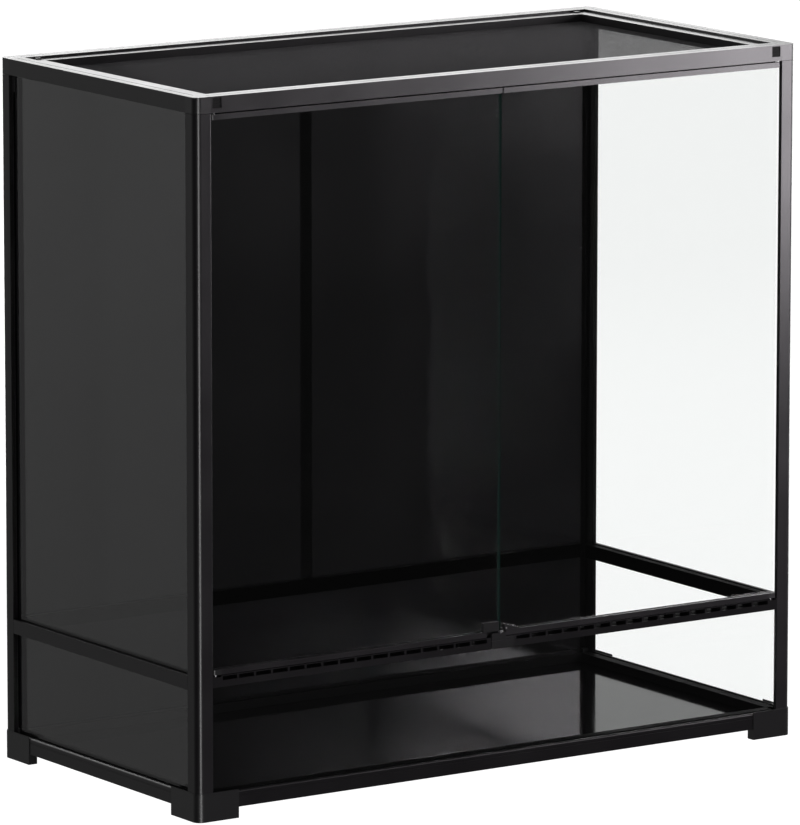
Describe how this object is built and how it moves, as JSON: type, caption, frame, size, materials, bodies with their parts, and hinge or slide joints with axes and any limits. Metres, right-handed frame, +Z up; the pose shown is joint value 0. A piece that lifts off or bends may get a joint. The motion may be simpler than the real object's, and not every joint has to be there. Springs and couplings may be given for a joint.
{
  "type": "reptile terrarium",
  "caption": "Glass terrarium in a black bar frame, with hinged front doors over a slotted rail, mesh lid, opaque back and floor, corner feet.",
  "frame": {"origin": "centre of the footprint, on the ground under the four feet", "axes": "+X to the right seen from the doors, +Y from the doors to the back, +Z up"},
  "size_m": [0.9164, 0.4604, 0.905],
  "materials": {
    "black_frame": "satin powder coat on extruded aluminium",
    "black_plastic": "moulded, fine grain",
    "black_panel": "smooth, glossy",
    "clear_glass": "polished float glass",
    "steel_mesh": "woven wire, dark coated",
    "bright_steel": "nickel plated"
  },
  "bodies": {
    "frame": {"post_front_left": "black_frame", "post_front_right": "black_frame", "post_rear_left": "black_frame", "post_rear_right": "black_frame", "top_rail_front": "black_frame", "top_rail_rear": "black_frame", "top_rail_left": "black_frame", "top_rail_right": "black_frame", "bottom_rail_front": "black_frame", "bottom_rail_rear": "black_frame", "bottom_rail_left": "black_frame", "bottom_rail_right": "black_frame", "vent_rail_front": "black_frame", "mid_rail_rear": "black_frame", "mid_rail_left": "black_frame", "mid_rail_right": "black_frame", "corner_key_front_left": "black_plastic", "corner_key_front_right": "black_plastic", "corner_key_rear_left": "black_plastic", "corner_key_rear_right": "black_plastic", "foot_front_left": "black_plastic", "foot_front_right": "black_plastic", "foot_rear_left": "black_plastic", "foot_rear_right": "black_plastic", "side_glass_upper_left": "clear_glass", "side_glass_upper_right": "clear_glass", "side_glass_lower_left": "clear_glass", "side_glass_lower_right": "clear_glass", "front_glass_lower": "clear_glass", "rear_panel_upper_left": "black_panel", "rear_panel_upper_right": "black_panel", "rear_panel_lower": "black_panel", "rear_joint_strip": "black_frame", "floor_panel": "black_panel", "pivot_bushes": "black_plastic", "door_stops": "black_plastic", "lock_housing": "black_plastic"},
    "left_door": {"door_glass_left": "clear_glass", "door_top_bar_left": "black_frame", "door_bottom_bar_left": "black_frame", "door_end_blocks_left": "black_plastic", "door_pins_left": "bright_steel", "door_pull_left": "black_plastic"},
    "right_door": {"door_glass_right": "clear_glass", "door_top_bar_right": "black_frame", "door_bottom_bar_right": "black_frame", "door_end_blocks_right": "black_plastic", "door_pins_right": "bright_steel", "door_pull_right": "black_plastic", "pull_spring_right": "bright_steel"},
    "lid": {"lid_bar_front": "black_frame", "lid_bar_rear": "black_frame", "lid_bar_left": "black_frame", "lid_bar_right": "black_frame", "lid_corner_keys": "black_plastic", "lid_mesh": "steel_mesh", "lid_corner_tabs": "black_plastic"},
    "lock_bolt": {"lock_bolt": "bright_steel"}
  },
  "joints": [
    {"name": "left_door_hinge", "type": "hinge", "parent": "frame", "child": "left_door", "pos_m": [-0.4268, -0.224, 0.1832], "axis": [0, 0, -1], "range_deg": [0, 95]},
    {"name": "right_door_hinge", "type": "hinge", "parent": "frame", "child": "right_door", "pos_m": [0.4268, -0.224, 0.1832], "axis": [0, 0, 1], "range_deg": [0, 95]},
    {"name": "lid_lift", "type": "slide", "parent": "frame", "child": "lid", "axis": [0, 0, 1], "range_m": [0, 0.06]},
    {"name": "lock_slide", "type": "slide", "parent": "frame", "child": "lock_bolt", "axis": [0, 0, 1], "range_m": [0, 0.005]}
  ]
}
